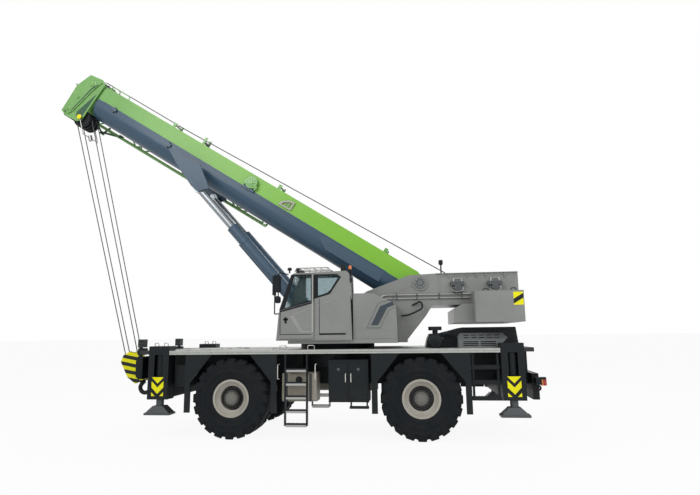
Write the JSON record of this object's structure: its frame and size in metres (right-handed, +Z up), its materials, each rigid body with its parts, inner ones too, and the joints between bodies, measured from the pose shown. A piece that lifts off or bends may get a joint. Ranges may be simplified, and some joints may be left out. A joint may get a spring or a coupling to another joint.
{
  "type": "rough-terrain mobile crane",
  "caption": "Two-axle rough-terrain mobile crane with a telescopic boom on a slewing turntable, a side cab, outriggers, steered wheels and a hook block.",
  "frame": {"origin": "on the ground below the middle of the whole crane", "axes": "+X to the rear of the carrier, +Y to its right, +Z up; the boom points to -X"},
  "size_m": [13.3618, 3.35, 10.2345],
  "materials": {
    "black_paint": "satin",
    "cast": "satin",
    "chrome": "polished",
    "deck_metal": "satin",
    "glass": "clear",
    "green_paint": "gloss",
    "grey_paint": "satin",
    "hook_yellow": "satin",
    "lamp": "gloss",
    "rim_paint": "satin",
    "seat": "woven",
    "sheave": "satin",
    "slate_paint": "satin",
    "steel": "satin",
    "tank_paint": "satin",
    "tyre": "matte"
  },
  "bodies": {
    "carrier": {"carrier_frame": "black_paint", "deck": "deck_metal", "fenders": "black_paint", "engine_hood": "black_paint", "exhaust_guard": "grey_paint", "air_cleaner": "black_paint", "side_tanks": "tank_paint", "tool_cabinet": "black_paint", "ladders": "steel", "lamps": "lamp", "tow_eyes": "cast", "engine": "cast", "slew_ring": "cast", "front_axle": "cast", "rear_axle": "cast"},
    "cabinet_door_front": {"cabinet_door_f": "black_paint"},
    "cabinet_door_rear": {"cabinet_door_r": "black_paint"},
    "knuckle_fl": {"knuckle_fl": "cast"},
    "wheel_fl": {"rim_fl": "rim_paint", "tyre_fl": "tyre"},
    "knuckle_fr": {"knuckle_fr": "cast"},
    "wheel_fr": {"rim_fr": "rim_paint", "tyre_fr": "tyre"},
    "knuckle_rl": {"knuckle_rl": "cast"},
    "wheel_rl": {"rim_rl": "rim_paint", "tyre_rl": "tyre"},
    "knuckle_rr": {"knuckle_rr": "cast"},
    "wheel_rr": {"rim_rr": "rim_paint", "tyre_rr": "tyre"},
    "outrigger_fl": {"outrigger_fl": "black_paint"},
    "jack_fl": {"jack_fl": "steel"},
    "outrigger_fr": {"outrigger_fr": "black_paint"},
    "jack_fr": {"jack_fr": "steel"},
    "outrigger_rl": {"outrigger_rl": "black_paint"},
    "jack_rl": {"jack_rl": "steel"},
    "outrigger_rr": {"outrigger_rr": "black_paint"},
    "jack_rr": {"jack_rr": "steel"},
    "turntable": {"turntable_frame": "grey_paint", "counterweight": "cast", "winches": "slate_paint", "side_covers": "grey_paint", "cab_shell": "grey_paint", "cab_glass": "glass", "cab_interior": "seat", "cab_fittings": "black_paint"},
    "cab_door": {"cab_door": "grey_paint", "door_glass": "glass"},
    "boom": {"boom_base": "green_paint", "jib": "green_paint"},
    "boom_second": {"boom_mid_1": "slate_paint"},
    "boom_third": {"boom_mid_2": "slate_paint"},
    "boom_tip": {"boom_tip": "green_paint", "head_sheaves": "sheave"},
    "luff_barrels": {"luff_barrels": "slate_paint"},
    "luff_rods": {"luff_rods": "chrome"},
    "overhoist_bail": {"overhoist_bail": "steel"},
    "hook_block": {"hook_block": "hook_yellow"},
    "hook": {"hook": "cast"}
  },
  "joints": [
    {"name": "cabinet_front_hinge", "type": "hinge", "parent": "carrier", "child": "cabinet_door_front", "pos_m": [1.64596, -1.5835, 1.39722], "axis": [0, 0, -1], "range_deg": [0, 105]},
    {"name": "cabinet_rear_hinge", "type": "hinge", "parent": "carrier", "child": "cabinet_door_rear", "pos_m": [2.55596, -1.5835, 1.39722], "axis": [0, 0, 1], "range_deg": [0, 105]},
    {"name": "steer_fl", "type": "hinge", "parent": "carrier", "child": "knuckle_fl", "pos_m": [-0.71904, -0.98, 0.93472], "axis": [0, 0, 1], "range_deg": [-28, 28]},
    {"name": "spin_fl", "type": "hinge", "parent": "knuckle_fl", "child": "wheel_fl", "pos_m": [-0.71904, -1.3, 0.93472], "axis": [0, 1, 0], "continuous": true},
    {"name": "steer_fr", "type": "hinge", "parent": "carrier", "child": "knuckle_fr", "pos_m": [-0.71904, 0.98, 0.93472], "axis": [0, 0, 1], "range_deg": [-28, 28]},
    {"name": "spin_fr", "type": "hinge", "parent": "knuckle_fr", "child": "wheel_fr", "pos_m": [-0.71904, 1.3, 0.93472], "axis": [0, 1, 0], "continuous": true},
    {"name": "steer_rl", "type": "hinge", "parent": "carrier", "child": "knuckle_rl", "pos_m": [3.77096, -0.98, 0.93472], "axis": [0, 0, 1], "range_deg": [-28, 28]},
    {"name": "spin_rl", "type": "hinge", "parent": "knuckle_rl", "child": "wheel_rl", "pos_m": [3.77096, -1.3, 0.93472], "axis": [0, 1, 0], "continuous": true},
    {"name": "steer_rr", "type": "hinge", "parent": "carrier", "child": "knuckle_rr", "pos_m": [3.77096, 0.98, 0.93472], "axis": [0, 0, 1], "range_deg": [-28, 28]},
    {"name": "spin_rr", "type": "hinge", "parent": "knuckle_rr", "child": "wheel_rr", "pos_m": [3.77096, 1.3, 0.93472], "axis": [0, 1, 0], "continuous": true},
    {"name": "beam_fl", "type": "slide", "parent": "carrier", "child": "outrigger_fl", "axis": [0, -1, 0], "range_m": [0, 1.9]},
    {"name": "jack_fl", "type": "slide", "parent": "outrigger_fl", "child": "jack_fl", "axis": [0, 0, -1], "range_m": [0, 0.7]},
    {"name": "beam_fr", "type": "slide", "parent": "carrier", "child": "outrigger_fr", "axis": [0, 1, 0], "range_m": [0, 1.9]},
    {"name": "jack_fr", "type": "slide", "parent": "outrigger_fr", "child": "jack_fr", "axis": [0, 0, -1], "range_m": [0, 0.7]},
    {"name": "beam_rl", "type": "slide", "parent": "carrier", "child": "outrigger_rl", "axis": [0, -1, 0], "range_m": [0, 1.9]},
    {"name": "jack_rl", "type": "slide", "parent": "outrigger_rl", "child": "jack_rl", "axis": [0, 0, -1], "range_m": [0, 0.7]},
    {"name": "beam_rr", "type": "slide", "parent": "carrier", "child": "outrigger_rr", "axis": [0, 1, 0], "range_m": [0, 1.9]},
    {"name": "jack_rr", "type": "slide", "parent": "outrigger_rr", "child": "jack_rr", "axis": [0, 0, -1], "range_m": [0, 0.7]},
    {"name": "slew", "type": "hinge", "parent": "carrier", "child": "turntable", "pos_m": [1.62596, 0, 2.05922], "axis": [0, 0, 1], "continuous": true},
    {"name": "cab_door_slide", "type": "slide", "parent": "turntable", "child": "cab_door", "axis": [1, 0, 0], "range_m": [0, 0.64]},
    {"name": "luff", "type": "hinge", "parent": "turntable", "child": "boom", "pos_m": [3.83596, 0, 3.65222], "axis": [0, 1, 0], "range_deg": [-33.7, 45.3]},
    {"name": "telescope", "type": "slide", "parent": "boom", "child": "boom_second", "axis": [-0.8415, 0, 0.5402], "range_m": [0, 8.2]},
    {"name": "telescope_third", "type": "slide", "parent": "boom_second", "child": "boom_third", "axis": [-0.8415, 0, 0.5402], "range_m": [0, 8.2]},
    {"name": "telescope_tip", "type": "slide", "parent": "boom_third", "child": "boom_tip", "axis": [-0.8415, 0, 0.5402], "range_m": [0, 8.2]},
    {"name": "luff_barrel_swing", "type": "hinge", "parent": "turntable", "child": "luff_barrels", "pos_m": [1.33596, 0, 2.44722], "axis": [0, 1, 0], "range_deg": [-35.89, 48.06]},
    {"name": "luff_rod_slide", "type": "slide", "parent": "luff_barrels", "child": "luff_rods", "axis": [-0.6582, 0, 0.7528], "range_m": [-1.3334, 1.7889]},
    {"name": "bail_swing", "type": "hinge", "parent": "boom_tip", "child": "overhoist_bail", "pos_m": [-6.04931, 0, 8.8933], "axis": [0, 1, 0], "range_deg": [-17.26, 12.97]},
    {"name": "hoist", "type": "slide", "parent": "overhoist_bail", "child": "hook_block", "axis": [0.2672, 0, -0.9636], "range_m": [-6.4, 0]},
    {"name": "hook_swivel", "type": "hinge", "parent": "hook_block", "child": "hook", "pos_m": [-3.85085, 0, 1.26155], "axis": [-0.4617, 0, 0.887], "continuous": true}
  ],
  "couplings": [
    {"joint": "steer_fr", "follows": "steer_fl", "ratio": 1},
    {"joint": "steer_rr", "follows": "steer_rl", "ratio": 1},
    {"joint": "telescope_third", "follows": "telescope", "ratio": 1},
    {"joint": "telescope_tip", "follows": "telescope", "ratio": 1},
    {"joint": "luff_barrel_swing", "follows": "luff", "ratio": 1.05},
    {"joint": "luff_rod_slide", "follows": "luff", "m_per_rad": 2.25},
    {"joint": "bail_swing", "follows": "luff", "ratio": -0.37}
  ]
}
